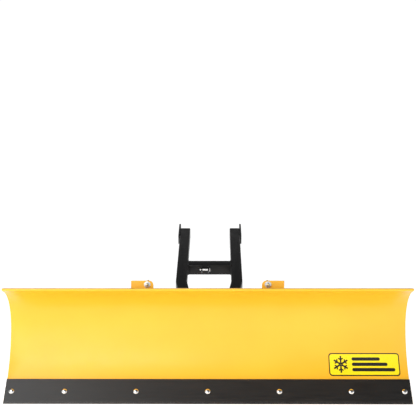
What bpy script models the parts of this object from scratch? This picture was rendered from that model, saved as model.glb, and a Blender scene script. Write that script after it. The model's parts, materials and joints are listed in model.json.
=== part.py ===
"""ATV plow blade: curved moldboard, wear bar, trip springs, swivel and push frame.

Metres. +X is the blade's right end seen from in front, +Y points back to the vehicle, +Z is up.
The origin is the middle of the wear bar's ground edge.
"""
import math

import bmesh
import bpy
from mathutils import Matrix, Vector

# ---- driving dimensions -------------------------------------------------------------------
GAP = 0.0003                 # between two pieces that touch
BLADE_WIDTH = 1.524          # 60 in
SHEET = 0.003                # moldboard sheet
BAR_HEIGHT = 0.1016          # wear bar, 4 in
BAR_THICK = 0.00635          # 1/4 in
BAR_SLOPE = math.radians(55.5)
BAR_OVERHANG = 0.0254        # wear bar below the moldboard's lower edge
LOWER_RADIUS = 0.330         # moldboard, from the wear bar to its deepest line
UPPER_RADIUS = 0.1505        # moldboard, from its deepest line to the top run
TOP_SLOPE = math.radians(166.5)
TOP_RUN = 0.033
LIP_RADIUS = 0.0045
LIP_FLANGE = 0.024

BOLT_X = (0.0, 0.269, 0.538, 0.737)      # wear bolts, mirrored
BOLT_R = 0.0047
BOLT_HEAD_R = 0.0103
BOLT_HEAD_RISE = 0.0048
NUT_AF = 0.0143
NUT_HIGH = 0.0083

RIB_THICK = 0.00635
RIB_INNER_X = 0.2840         # inner faces of the two inner ribs
RIB_OUTER_X = 0.5435
TAB_INNER_X = 0.2055         # free edge of the spring tab
TAB_FACE_Y = 0.046
TAB_TOP_Z = 0.455
TAB_LOW_Z = 0.4055
TAB_CORNER_R = 0.017
INNER_RIB_EDGE = ((0.078, 0.428), (0.128, 0.372), (0.160, 0.300), (0.172, 0.235))   # y, z
OUTER_RIB_EDGE = (
    (0.078, 0.401), (0.128, 0.352), (0.158, 0.285), (0.166, 0.190), (0.166, 0.098), (0.094, 0.066),
)
RIB_LOW_Z = 0.035
PIVOT_BOSS_R = 0.032         # inner rib's round corner about the trip pivot
EYE_X = 0.2286               # trip springs, 18 in apart
EYE_Z = 0.440
EYE_Y = 0.088
EYE_RING_R = 0.0115
WASHER_R = 0.0125
WASHER_THICK = 0.0020

TRIP_PIVOT = (0.150, 0.118)  # y, z
PIVOT_PIN_R = 0.0079
PIVOT_HEAD_R = 0.0125
HOLE_CLEARANCE = 0.0003

TUBE = 0.0508                # 2 in square tube
TUBE_WALL = 0.0045
FRAME_SLOPE = math.radians(25.0)
KINGPIN = (0.300, 0.200)     # y, z
KINGPIN_R = 0.0095
CROSSBAR_S = -0.085          # distances along the frame, from the kingpin back
CROSSBAR_HALF = 0.2742
ARM_THICK = 0.008
PLATE = 0.008
SIDE_X = 0.127               # centre lines of the parallel side tubes, 10 in apart
NOSE_X = 0.080               # centre lines at the tubes' front ends
NOSE_S = 0.165
BEND_S = 0.470
REAR_S = 1.05
CROSS_TUBE_S = 0.648
NOSE_PLATE_R = 0.038         # nose plates' round front, about the kingpin
NOSE_PLATE_EDGE = ((0.070, 0.100), (0.104, 0.165), (0.118, 0.235), (0.0, 0.235))  # x, s
HEAD_FLATS = 0.0286          # kingpin's head and nut, 1 1/8 in
HEAD_HIGH = 0.0119
KINGPIN_NUT_HIGH = 0.0165
KINGPIN_TAIL = 0.024         # shank below the lower nose plate
LUG_THICK = 0.008
LUG_FRONT_S = 0.96
LUG_HOLE_S = 1.10
LUG_HOLE_R = 0.0082
QUADRANT_R = 0.118
SWIVEL_SLEEVE_R = 0.021
SWIVEL_PLATE_R = 0.046       # lower swivel plate's round rear
LOCK_S = 0.098               # lock pin's distance from the kingpin
LOCK_ANGLES = (-30, -15, 0, 15, 30)
LOCK_PIN_R = 0.0060
LOCK_PLAY = 0.0005           # round the lock pin, in the nose plate and the quadrant
LOCK_COLLAR_R = 0.0104
LOCK_TRAVEL = 0.022          # down into the quadrant from its parked height
GUIDE_R = 0.0160
GUIDE_BORE_R = 0.0110
GUIDE_TOP = 0.080
GUIDE_WALL = 0.004           # guide's top wall, which the return spring pushes against
KNOB_OUTLINE = (             # radius, height above the knob's base
    (0.0, 0.0), (0.0075, 0.0), (0.0085, 0.006), (0.0150, 0.012),
    (0.0165, 0.020), (0.0140, 0.028), (0.0070, 0.032), (0.0, 0.0325),
)
RETURN_SPRING_R = 0.0085
RETURN_WIRE_R = 0.0007
RETURN_TURNS = 5
LIFT_X = -0.020
LIFT_HALF_GAP = 0.013
LIFT_PLATE = 0.006
LIFT_EAR_R = 0.0115
LIFT_PIN_R = 0.0050
LIFT_PIN_N = 0.012
ANCHOR_S = -0.075
ANCHOR_N = 0.055
EAR_R = 0.013
EAR_HOLE_R = 0.0062
EAR_THICK = 0.006

SKID_X = 0.5671
SKID_Y = 0.150
SLEEVE_R = 0.0170
SLEEVE_LOW = 0.090
SLEEVE_HIGH = 0.190
POST_R = 0.0127
POST_ABOVE = 0.060           # post above its sleeve
SHOE_R = 0.045
SPACER_HIGH = 0.0254
SKID_PIN_R = 0.0040
SKID_PIN_HALF = 0.022

SPRING_R = 0.0165            # coil's mean radius
SPRING_WIRE_R = 0.0028
SPRING_TURNS = 12
TOP_HOOK_R = 0.0085
LOW_HOOK_R = 0.0075

ROUND = 16                   # sides of an ordinary round piece


# ---- helpers ------------------------------------------------------------------------------
def clear_scene():
    for old in list(bpy.data.objects):
        bpy.data.objects.remove(old, do_unlink=True)


def make_material(name, colour, roughness, metallic):
    material = bpy.data.materials.new(name)
    material.use_nodes = True
    shader = material.node_tree.nodes["Principled BSDF"]
    shader.inputs["Base Color"].default_value = (*colour, 1.0)
    shader.inputs["Roughness"].default_value = roughness
    shader.inputs["Metallic"].default_value = metallic
    return material


FINISHES = {
    "yellow": ((0.90, 0.58, 0.03), 0.42, 0.0),
    "black": ((0.012, 0.012, 0.013), 0.40, 0.0),
    "bar": ((0.035, 0.035, 0.036), 0.45, 0.0),
    "zinc": ((0.62, 0.62, 0.60), 0.32, 1.0),
    "spring": ((0.20, 0.20, 0.21), 0.35, 1.0),
    "knob": ((0.02, 0.02, 0.02), 0.30, 0.0),
}


def empty(name, location=(0, 0, 0), slope=0.0, parent=None):
    obj = bpy.data.objects.new(name, None)
    obj.location = location
    obj.rotation_euler = (slope, 0, 0)
    obj.parent = parent
    bpy.context.scene.collection.objects.link(obj)
    return obj


def add_object(name, bm, finish, parent=None, inverse=None, smooth=False):
    """Turn a bmesh into a named object with its own material."""
    bmesh.ops.recalc_face_normals(bm, faces=bm.faces[:])
    mesh = bpy.data.meshes.new(name)
    bm.to_mesh(mesh)
    bm.free()
    obj = bpy.data.objects.new(name, mesh)
    bpy.context.scene.collection.objects.link(obj)
    if finish:
        mesh.materials.append(make_material(name + "_finish", *FINISHES[finish]))
    if smooth:
        mesh.shade_smooth()
        mesh.set_sharp_from_angle(angle=math.radians(40))
    if parent:
        obj.parent = parent
    if inverse:
        obj.matrix_parent_inverse = inverse
    return obj


def hide_tool(obj):
    obj.hide_render = True
    obj.display_type = "WIRE"


def boolean(obj, tool, operation):
    hide_tool(tool)
    modifier = obj.modifiers.new(operation.lower(), "BOOLEAN")
    modifier.operation = operation
    modifier.object = tool
    modifier.solver = "EXACT"


def prism(points, low, high, to_world):
    """A closed prism over a flat outline; to_world(a, b, height) places its corners."""
    bm = bmesh.new()
    bottom = [bm.verts.new(to_world(a, b, low)) for a, b in points]
    top = [bm.verts.new(to_world(a, b, high)) for a, b in points]
    bm.faces.new(bottom)
    bm.faces.new(top[::-1])
    count = len(points)
    for i in range(count):
        j = (i + 1) % count
        bm.faces.new((bottom[i], bottom[j], top[j], top[i]))
    return bm


def side_plane(y, z, x):
    return Vector((x, y, z))


def flat_plane(x, s, n):
    return Vector((x, s, n))


def front_plane(x, z, y):
    return Vector((x, y, z))


def arc(centre, radius, start, end, count):
    """Points on an arc, angles in degrees, both ends included."""
    points = []
    for i in range(count + 1):
        angle = math.radians(start + (end - start) * i / count)
        points.append((centre[0] + radius * math.cos(angle), centre[1] + radius * math.sin(angle)))
    return points


def mirrored(points):
    """A symmetric outline from its half at +x."""
    return points + [(-x, y) for x, y in reversed(points) if abs(x) > 1e-9]


def rod(radius, low, high, sides=ROUND, chamfer=0.0):
    """A solid rod along Z with chamfered ends."""
    profile = [(0.0, low), (radius - chamfer, low)]
    if chamfer:
        profile.append((radius, low + chamfer))
        profile.append((radius, high - chamfer))
    profile.append((radius - chamfer, high))
    profile.append((0.0, high))
    return turned(profile, sides)


def turned(profile, sides=ROUND):
    """A body of revolution about Z; points (radius, z) from the axis round to the axis again,
    or a closed ring profile when no point lies on the axis."""
    bm = bmesh.new()
    closed = all(radius > 1e-9 for radius, _ in profile)
    rings = []
    for radius, z in profile:
        if radius <= 1e-9:
            rings.append([bm.verts.new((0, 0, z))])
            continue
        ring = []
        for i in range(sides):
            angle = 2 * math.pi * i / sides
            ring.append(bm.verts.new((radius * math.cos(angle), radius * math.sin(angle), z)))
        rings.append(ring)
    pairs = list(zip(rings, rings[1:]))
    if closed:
        pairs.append((rings[-1], rings[0]))
    for first, second in pairs:
        for i in range(sides):
            j = (i + 1) % sides
            if len(first) == 1:
                bm.faces.new((first[0], second[i], second[j]))
            elif len(second) == 1:
                bm.faces.new((first[i], second[0], first[j]))
            else:
                bm.faces.new((first[i], second[i], second[j], first[j]))
    return bm


def hexagon(flats):
    radius = flats / math.sqrt(3)
    return arc((0, 0), radius, 0, 300, 5)


def nut(flats, bore_radius, height):
    """A hexagon nut along Z with a through hole."""
    bm = bmesh.new()
    outer = hexagon(flats)
    sides = 12
    bore_radius /= math.cos(math.pi / sides)
    rings = []
    for z in (0.0, height):
        ring_out = []
        ring_in = []
        for i in range(sides):
            angle = 2 * math.pi * i / sides
            corner = outer[i // 2]
            following = outer[(i // 2 + 1) % 6]
            if i % 2:
                corner = ((corner[0] + following[0]) / 2, (corner[1] + following[1]) / 2)
            ring_out.append(bm.verts.new((corner[0], corner[1], z)))
            ring_in.append(bm.verts.new((bore_radius * math.cos(angle), bore_radius * math.sin(angle), z)))
        rings.append((ring_out, ring_in))
    (low_out, low_in), (high_out, high_in) = rings
    for i in range(sides):
        j = (i + 1) % sides
        bm.faces.new((low_out[i], low_out[j], high_out[j], high_out[i]))
        bm.faces.new((low_in[j], low_in[i], high_in[i], high_in[j]))
        bm.faces.new((low_out[j], low_out[i], low_in[i], low_in[j]))
        bm.faces.new((high_out[i], high_out[j], high_in[j], high_in[i]))
    return bm


def moved(bm, matrix):
    bmesh.ops.transform(bm, matrix=matrix, verts=bm.verts[:])
    return bm


def along_x(x, y, z):
    """From a body along Z to one along +X whose base is at this point."""
    return Matrix.Translation((x, y, z)) @ Matrix.Rotation(math.radians(90), 4, "Y")


def along_y(x, y, z):
    return Matrix.Translation((x, y, z)) @ Matrix.Rotation(math.radians(-90), 4, "X")


def sweep(path, radius, sides):
    """A round wire along a list of points."""
    bm = bmesh.new()
    count = len(path)
    rings = []
    previous = None
    for i, point in enumerate(path):
        tangent = (path[min(i + 1, count - 1)] - path[max(i - 1, 0)]).normalized()
        if previous is None:
            helper = Vector((1, 0, 0)) if abs(tangent.x) < 0.9 else Vector((0, 1, 0))
            side = tangent.cross(helper).normalized()
        else:
            side = (previous - tangent * previous.dot(tangent)).normalized()
        previous = side
        other = tangent.cross(side)
        ring = []
        for k in range(sides):
            angle = 2 * math.pi * k / sides
            ring.append(bm.verts.new(point + radius * (math.cos(angle) * side + math.sin(angle) * other)))
        rings.append(ring)
    for first, second in zip(rings, rings[1:]):
        for k in range(sides):
            m = (k + 1) % sides
            bm.faces.new((first[k], first[m], second[m], second[k]))
    bm.faces.new(rings[0][::-1])
    bm.faces.new(rings[-1])
    return bm


def round_cutter(name, radius, matrix, length, parent=None, inverse=None):
    bm = moved(rod(radius, -length / 2, length / 2), matrix)
    return add_object(name, bm, None, parent, inverse)


# ---- blade section ------------------------------------------------------------------------
FOOT = BAR_THICK / math.sin(BAR_SLOPE)


def on_bar(up, behind):
    """A point up the wear bar's front face and behind it."""
    return (
        -FOOT / 2 + up * math.cos(BAR_SLOPE) + behind * math.sin(BAR_SLOPE),
        up * math.sin(BAR_SLOPE) - behind * math.cos(BAR_SLOPE),
    )


def section():
    """Front face of the moldboard from its lower edge up: (y, z, tangent angle)."""
    stations = [(*on_bar(BAR_OVERHANG, BAR_THICK + GAP), BAR_SLOPE)]
    start = on_bar(BAR_HEIGHT, BAR_THICK + GAP)

    def follow(y, z, radius, first, last, count):
        """An arc that turns towards the front, from tangent angle first to last."""
        centre = (y - radius * math.sin(first), z + radius * math.cos(first))
        for i in range(count + 1):
            angle = first + (last - first) * i / count
            stations.append((
                centre[0] + radius * math.sin(angle),
                centre[1] - radius * math.cos(angle),
                angle,
            ))

    follow(*start, LOWER_RADIUS, BAR_SLOPE, math.pi / 2, 8)
    y, z, _ = stations.pop()
    follow(y, z, UPPER_RADIUS, math.pi / 2, TOP_SLOPE, 12)
    y, z, _ = stations[-1]
    y += TOP_RUN * math.cos(TOP_SLOPE)
    z += TOP_RUN * math.sin(TOP_SLOPE)
    centre = (y + LIP_RADIUS * math.sin(TOP_SLOPE), z - LIP_RADIUS * math.cos(TOP_SLOPE))
    steps = 6
    for i in range(steps + 1):
        angle = TOP_SLOPE * (1 - i / steps)
        stations.append((
            centre[0] - LIP_RADIUS * math.sin(angle),
            centre[1] + LIP_RADIUS * math.cos(angle),
            angle,
        ))
    y, z, _ = stations[-1]
    stations.append((y + LIP_FLANGE, z, 0.0))
    return stations


def behind(station, distance):
    y, z, angle = station
    return (y + distance * math.sin(angle), z - distance * math.cos(angle))


def back_curve(first_z, last_z):
    """The moldboard's back face, one gap off it, between two heights."""
    curve = []
    for station in section():
        y, z = behind(station, SHEET + GAP)
        if first_z < z < last_z and station[2] >= BAR_SLOPE:
            curve.append((y, z))
    return curve


def build_moldboard(trip, inverse):
    bm = bmesh.new()
    stations = section()
    ends = []
    for x in (-BLADE_WIDTH / 2, BLADE_WIDTH / 2):
        front = [bm.verts.new((x, y, z)) for y, z, _ in stations]
        back = [bm.verts.new((x, *behind(station, SHEET))) for station in stations]
        ends.append((front, back))
    (left_front, left_back), (right_front, right_back) = ends
    for i in range(len(stations) - 1):
        bm.faces.new((left_front[i], right_front[i], right_front[i + 1], left_front[i + 1]))
        bm.faces.new((left_back[i + 1], right_back[i + 1], right_back[i], left_back[i]))
        bm.faces.new((left_front[i + 1], left_back[i + 1], left_back[i], left_front[i]))
        bm.faces.new((right_front[i], right_back[i], right_back[i + 1], right_front[i + 1]))
    bm.faces.new((left_front[0], left_back[0], right_back[0], right_front[0]))
    bm.faces.new((right_front[-1], right_back[-1], left_back[-1], left_front[-1]))
    board = add_object("moldboard", bm, "yellow", trip, inverse, smooth=True)
    add_bolt_holes(board, "moldboard", trip, inverse)


def wear_bolt_positions():
    xs = sorted({sign * x for x in BOLT_X for sign in (-1, 1)})
    return list(enumerate(xs, start=1))


def bar_matrix(x, behind_front):
    """At a wear bolt: +Z runs along the bolt to the back, from this depth behind the bar's front."""
    y, z = on_bar(BAR_HEIGHT / 2, behind_front)
    return Matrix.Translation((x, y, z)) @ Matrix.Rotation(BAR_SLOPE - math.pi, 4, "X")


def add_bolt_holes(obj, name, trip, inverse):
    for index, x in wear_bolt_positions():
        cutter = round_cutter(
            f"cut_{name}_{index}", BOLT_R + HOLE_CLEARANCE, bar_matrix(x, BAR_THICK), 0.03, trip, inverse
        )
        boolean(obj, cutter, "DIFFERENCE")


def build_wear_bar(trip, inverse):
    outline = [
        (-FOOT / 2, 0.0),
        (FOOT / 2, 0.0),
        on_bar(BAR_HEIGHT, BAR_THICK),
        on_bar(BAR_HEIGHT, 0.0),
    ]
    bm = prism(outline, -BLADE_WIDTH / 2, BLADE_WIDTH / 2, side_plane)
    bar = add_object("wear_bar", bm, "bar", trip, inverse)
    add_bolt_holes(bar, "wear_bar", trip, inverse)


def build_wear_fasteners(trip, inverse):
    nut_depth = BAR_THICK + SHEET + 2 * GAP
    shank_end = nut_depth + NUT_HIGH + 0.004
    dome = [(0.0, -GAP - BOLT_HEAD_RISE)]
    for step in (0.35, 0.65, 0.88, 1.0):
        height = BOLT_HEAD_RISE * math.sqrt(max(0.0, 1 - step ** 2 * 0.94))
        dome.append((BOLT_HEAD_R * step, -GAP - height))
    dome += [
        (BOLT_HEAD_R, -GAP),
        (BOLT_R, -GAP),
        (BOLT_R, shank_end - 0.0008),
        (BOLT_R - 0.0008, shank_end),
        (0.0, shank_end),
    ]
    for index, x in wear_bolt_positions():
        bolt = moved(turned(dome), bar_matrix(x, 0.0))
        add_object(f"wear_bolt_{index}", bolt, "zinc", trip, inverse, smooth=True)
        hex_nut = moved(nut(NUT_AF, BOLT_R + HOLE_CLEARANCE, NUT_HIGH), bar_matrix(x, nut_depth))
        add_object(f"wear_nut_{index}", hex_nut, "zinc", trip, inverse)


# ---- blade back ---------------------------------------------------------------------------
def build_inner_rib(side, sign, trip, inverse):
    """Upright rib with the trip pivot's hole, its top bent in as the spring tab."""
    pivot_y, pivot_z = TRIP_PIVOT
    tab_back = TAB_FACE_Y + RIB_THICK
    front = back_curve(RIB_LOW_Z, TAB_LOW_Z - 0.010)
    front = [point for point in front if point[0] > TAB_FACE_Y or point[1] < TRIP_PIVOT[1]]
    outline = front + [(TAB_FACE_Y, TAB_LOW_Z), (TAB_FACE_Y, TAB_TOP_Z), (tab_back, TAB_TOP_Z)]
    outline += INNER_RIB_EDGE
    outline += arc(TRIP_PIVOT, PIVOT_BOSS_R, 15, -90, 6)
    outline += [(0.100, 0.072)]
    x_in = sign * RIB_INNER_X
    x_out = sign * (RIB_INNER_X + RIB_THICK)
    rib = add_object(
        f"inner_rib_{side}", prism(outline, x_in, x_out, side_plane), "yellow", trip, inverse, smooth=True
    )
    corner = (TAB_INNER_X + TAB_CORNER_R, TAB_TOP_Z - TAB_CORNER_R)
    tab_outline = [(RIB_INNER_X + RIB_THICK, TAB_LOW_Z), (RIB_INNER_X + RIB_THICK, TAB_TOP_Z)]
    tab_outline += arc(corner, TAB_CORNER_R, 90, 180, 5)
    tab_outline += [(TAB_INNER_X, TAB_LOW_Z)]
    tab_outline = [(sign * x, z) for x, z in tab_outline]
    tab = add_object(
        f"tab_{side}", prism(tab_outline, TAB_FACE_Y, tab_back, front_plane), None, trip, inverse
    )
    boolean(rib, tab, "UNION")
    eye_hole = round_cutter(
        f"cut_tab_{side}", BOLT_R + HOLE_CLEARANCE, along_y(sign * EYE_X, TAB_FACE_Y, EYE_Z),
        0.03, trip, inverse,
    )
    boolean(rib, eye_hole, "DIFFERENCE")
    pivot_hole = round_cutter(
        f"cut_rib_{side}", PIVOT_PIN_R + HOLE_CLEARANCE, along_x(x_in, pivot_y, pivot_z), 0.03, trip, inverse
    )
    boolean(rib, pivot_hole, "DIFFERENCE")


def build_outer_rib(side, sign, trip, inverse):
    """Plain upright rib that also carries the skid's sleeve."""
    outline = back_curve(RIB_LOW_Z, TAB_LOW_Z)
    outline = [point for point in outline if point[0] > TAB_FACE_Y or point[1] < TRIP_PIVOT[1]]
    outline += OUTER_RIB_EDGE
    x_in = sign * RIB_OUTER_X
    x_out = sign * (RIB_OUTER_X + RIB_THICK)
    solid = prism(outline, x_in, x_out, side_plane)
    add_object(f"outer_rib_{side}", solid, "yellow", trip, inverse, smooth=True)


def build_eye_bolt(side, sign, trip, inverse):
    """Threaded shank with a bent eye behind the tab, a washer and a nut in front of it."""
    shank_front = TAB_FACE_Y - 0.0205
    shank_back = EYE_Y - EYE_RING_R - 0.014
    centre = Vector((sign * EYE_X, EYE_Y, EYE_Z))
    path = [Vector((sign * EYE_X, shank_front, EYE_Z)), Vector((sign * EYE_X, shank_back, EYE_Z))]
    steps = 12
    for i in range(steps + 1):
        angle = math.radians(-150 + 285 * i / steps)
        path.append(centre + EYE_RING_R * Vector((0, math.cos(angle), math.sin(angle))))
    bm = sweep(path, BOLT_R, 8)
    add_object(f"eye_bolt_{side}", bm, "zinc", trip, inverse, smooth=True)
    washer_back = TAB_FACE_Y - GAP
    washer = turned([
        (BOLT_R + HOLE_CLEARANCE, 0.0),
        (WASHER_R, 0.0),
        (WASHER_R, WASHER_THICK),
        (BOLT_R + HOLE_CLEARANCE, WASHER_THICK),
    ])
    moved(washer, along_y(sign * EYE_X, washer_back - WASHER_THICK, EYE_Z))
    add_object(f"spring_washer_{side}", washer, "zinc", trip, inverse, smooth=True)
    hex_nut = nut(NUT_AF, BOLT_R + HOLE_CLEARANCE, NUT_HIGH)
    moved(hex_nut, along_y(sign * EYE_X, washer_back - WASHER_THICK - GAP - NUT_HIGH, EYE_Z))
    add_object(f"spring_nut_{side}", hex_nut, "zinc", trip, inverse)


def build_pivot_pin(side, sign, trip, inverse):
    """Headed pin through the rib and the swivel's arm."""
    head = RIB_INNER_X + RIB_THICK + GAP
    inner_end = RIB_INNER_X - 0.0215
    profile = [
        (0.0, inner_end),
        (PIVOT_PIN_R - 0.001, inner_end),
        (PIVOT_PIN_R, inner_end + 0.001),
        (PIVOT_PIN_R, head),
        (PIVOT_HEAD_R, head),
        (PIVOT_HEAD_R, head + 0.006),
        (PIVOT_HEAD_R - 0.001, head + 0.007),
        (0.0, head + 0.007),
    ]
    bm = moved(turned(profile), along_x(0, *TRIP_PIVOT))
    if sign < 0:
        bmesh.ops.transform(bm, matrix=Matrix.Scale(-1, 4, (1, 0, 0)), verts=bm.verts[:])
    add_object(f"pivot_pin_{side}", bm, "zinc", trip, inverse, smooth=True)


# ---- skid shoes ---------------------------------------------------------------------------
def build_skid(side, sign, trip, inverse):
    """Sleeve on the outer rib; the shoe's post slides in it, with a pin above."""
    x = sign * SKID_X
    place = Matrix.Translation((x, SKID_Y, 0))
    sleeve = turned([
        (POST_R + HOLE_CLEARANCE, SLEEVE_LOW),
        (SLEEVE_R, SLEEVE_LOW),
        (SLEEVE_R, SLEEVE_HIGH),
        (POST_R + HOLE_CLEARANCE, SLEEVE_HIGH),
    ])
    add_object(f"skid_sleeve_{side}", moved(sleeve, place), "yellow", trip, inverse, smooth=True)
    slide_axis = empty(f"skid_slide_{side}", (x, SKID_Y - TRIP_PIVOT[0], -TRIP_PIVOT[1]), parent=trip)
    post_top = SLEEVE_HIGH + POST_ABOVE
    shoe = turned([
        (0.0, 0.0),
        (SHOE_R - 0.012, 0.0),
        (SHOE_R - 0.003, 0.003),
        (SHOE_R, 0.009),
        (SHOE_R - 0.002, 0.0115),
        (SHOE_R - 0.012, 0.010),
        (0.020, 0.018),
        (POST_R, 0.024),
        (POST_R, post_top - 0.0015),
        (POST_R - 0.0015, post_top),
        (0.0, post_top),
    ], 20)
    shoe_object = add_object(f"skid_shoe_{side}", shoe, "black", slide_axis, smooth=True)
    pin_z = post_top - 0.014
    hole = round_cutter(
        f"cut_skid_{side}", SKID_PIN_R + HOLE_CLEARANCE, along_y(0, 0, pin_z), 0.05, slide_axis
    )
    boolean(shoe_object, hole, "DIFFERENCE")
    pin = rod(SKID_PIN_R, -SKID_PIN_HALF, SKID_PIN_HALF, 12, 0.0006)
    add_object(f"skid_pin_{side}", moved(pin, along_y(0, 0, pin_z)), "zinc", slide_axis, smooth=True)
    collar_top = SLEEVE_LOW - GAP
    collar = turned([
        (POST_R + HOLE_CLEARANCE, collar_top - SPACER_HIGH),
        (SLEEVE_R, collar_top - SPACER_HIGH),
        (SLEEVE_R, collar_top),
        (POST_R + HOLE_CLEARANCE, collar_top),
    ])
    add_object(f"skid_spacer_{side}", collar, "zinc", slide_axis, smooth=True)


# ---- swivel -------------------------------------------------------------------------------
def square_tube(path, size, wall):
    """A hollow square tube in the frame's plane along a polyline (x, s), mitred at its bends."""
    bm = bmesh.new()
    stations = []
    for i, point in enumerate(path):
        here = Vector(point)
        before = (here - Vector(path[i - 1])).normalized() if i else None
        after = (Vector(path[i + 1]) - here).normalized() if i + 1 < len(path) else None
        direction = ((before or after) + (after or before)).normalized()
        stretch = 1.0 / direction.dot(after or before)
        across = Vector((direction.y, -direction.x)) * stretch
        rings = []
        for half in (size / 2, size / 2 - wall):
            ring = []
            for a, n in ((-1, -1), (1, -1), (1, 1), (-1, 1)):
                spot = here + across * a * half
                ring.append(bm.verts.new((spot.x, spot.y, n * half)))
            rings.append(ring)
        stations.append(rings)
    for (out_a, in_a), (out_b, in_b) in zip(stations, stations[1:]):
        for i in range(4):
            j = (i + 1) % 4
            bm.faces.new((out_a[i], out_a[j], out_b[j], out_b[i]))
            bm.faces.new((in_a[j], in_a[i], in_b[i], in_b[j]))
    for outer, inner in (stations[0], stations[-1]):
        for i in range(4):
            j = (i + 1) % 4
            bm.faces.new((outer[i], outer[j], inner[j], inner[i]))
    return bm


def build_swivel(angle):
    crossbar = square_tube([(-CROSSBAR_HALF, CROSSBAR_S), (CROSSBAR_HALF, CROSSBAR_S)], TUBE, TUBE_WALL)
    add_object("crossbar", crossbar, "black", angle)
    front = CROSSBAR_S + TUBE / 2 + GAP
    bore = KINGPIN_R + HOLE_CLEARANCE
    plate_top = TUBE / 2 - 0.0008
    plate_low = plate_top - PLATE

    outline = mirrored([(0.0, QUADRANT_R)] + arc((0, 0), QUADRANT_R, 83, 34, 7)
                       + [(0.072, 0.010), (0.080, front)])
    quadrant = add_object("angle_quadrant", prism(outline, plate_low, plate_top, flat_plane), "black", angle)
    boolean(quadrant, round_cutter("cut_quadrant", bore, Matrix(), 0.1, angle), "DIFFERENCE")
    for degrees in LOCK_ANGLES:
        turn = math.radians(degrees)
        spot = Matrix.Translation((LOCK_S * math.sin(turn), LOCK_S * math.cos(turn), 0))
        cutter = round_cutter(f"cut_lock_{degrees}", LOCK_PIN_R + LOCK_PLAY, spot, 0.1, angle)
        boolean(quadrant, cutter, "DIFFERENCE")

    outline = mirrored(
        [(0.0, SWIVEL_PLATE_R)] + arc((0, 0), SWIVEL_PLATE_R, 75, 15, 4) + [(0.062, front)]
    )
    lower = add_object(
        "swivel_plate_lower", prism(outline, -plate_top, -plate_low, flat_plane), "black", angle, smooth=True
    )
    sleeve = add_object(
        "swivel_sleeve", rod(SWIVEL_SLEEVE_R, -plate_top + 0.001, plate_low - GAP), None, angle
    )
    boolean(lower, sleeve, "UNION")
    boolean(lower, round_cutter("cut_swivel_lower", bore, Matrix(), 0.1, angle), "DIFFERENCE")


def frame_to_world(s, n):
    """World (y, z) of a point s back along the frame and n above it, from the kingpin."""
    y = KINGPIN[0] + s * math.cos(FRAME_SLOPE) - n * math.sin(FRAME_SLOPE)
    z = KINGPIN[1] + s * math.sin(FRAME_SLOPE) + n * math.cos(FRAME_SLOPE)
    return y, z


def world_to_frame(y, z):
    dy = y - KINGPIN[0]
    dz = z - KINGPIN[1]
    s = dy * math.cos(FRAME_SLOPE) + dz * math.sin(FRAME_SLOPE)
    n = -dy * math.sin(FRAME_SLOPE) + dz * math.cos(FRAME_SLOPE)
    return s, n


def build_swivel_arm(side, sign, angle):
    """Plate at the crossbar's end that reaches down to the trip pivot."""
    pivot = world_to_frame(*TRIP_PIVOT)
    half = TUBE / 2 + 0.004
    outline = [
        (CROSSBAR_S + half, -half),
        (CROSSBAR_S + half, half),
        (CROSSBAR_S - half + 0.012, half),
        (CROSSBAR_S - half, half - 0.012),
    ]
    outline += arc(pivot, 0.025, 120, 270, 8)
    low = sign * (CROSSBAR_HALF + GAP)
    high = sign * (CROSSBAR_HALF + GAP + ARM_THICK)
    arm = add_object(f"swivel_arm_{side}", prism(outline, low, high, side_plane), "black", angle, smooth=True)
    cutter = round_cutter(
        f"cut_arm_{side}", PIVOT_PIN_R + HOLE_CLEARANCE, along_x(low, *pivot), 0.04, angle
    )
    boolean(arm, cutter, "DIFFERENCE")


def build_spring_anchor(side, sign, angle):
    """Ear on top of the crossbar that holds the lower hook of a trip spring."""
    half = EAR_THICK / 2
    x = sign * EYE_X
    low = TUBE / 2 + GAP
    outline = [(CROSSBAR_S - 0.022, low), (CROSSBAR_S + 0.024, low)]
    outline += arc((ANCHOR_S, ANCHOR_N), EAR_R, 0, 180, 8)
    ear = add_object(
        f"spring_anchor_{side}", prism(outline, x - half, x + half, side_plane), "black", angle, smooth=True
    )
    cutter = round_cutter(f"cut_ear_{side}", EAR_HOLE_R, along_x(x, ANCHOR_S, ANCHOR_N), 0.03, angle)
    boolean(ear, cutter, "DIFFERENCE")


def build_trip_spring(side, sign, angle):
    """Extension spring from the eye bolt to the anchor ear, with a hook at each end."""
    eye = Vector((0.0, EYE_Y, EYE_Z))
    anchor = Vector((0.0, *frame_to_world(ANCHOR_S, ANCHOR_N)))
    line = (anchor - eye).normalized()
    across = Vector((1, 0, 0))
    normal = line.cross(across)
    x = Vector((sign * EYE_X, 0, 0))
    top = eye + line * 0.0037
    coil_top = top + line * 0.030
    coil_low = anchor - line * 0.028
    reach = (coil_low - coil_top).length

    def hook(end, inward, radius):
        """Half a turn through the eye, from -x to +x, whose outermost point is end."""
        points = []
        for step in range(-4, 5):
            angle = math.pi / 2 * step / 4
            drop = radius * (1 - math.cos(angle))
            points.append(x + end + inward * drop + across * radius * math.sin(angle))
        return points

    per_turn = 8
    total = SPRING_TURNS * per_turn
    path = hook(top, line, TOP_HOOK_R)
    for i in range(total + 1):
        turn = 2 * math.pi * i / per_turn
        centre = coil_top + line * (reach * i / total)
        path.append(x + centre + SPRING_R * (math.cos(turn) * across + math.sin(turn) * normal))
    path += hook(anchor, -line, LOW_HOOK_R)[::-1]
    inverse = (Matrix.Translation((0, *KINGPIN)) @ Matrix.Rotation(FRAME_SLOPE, 4, "X")).inverted()
    bm = sweep(path, SPRING_WIRE_R, 5)
    add_object(f"trip_spring_{side}", bm, "spring", angle, inverse, smooth=True)


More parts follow.
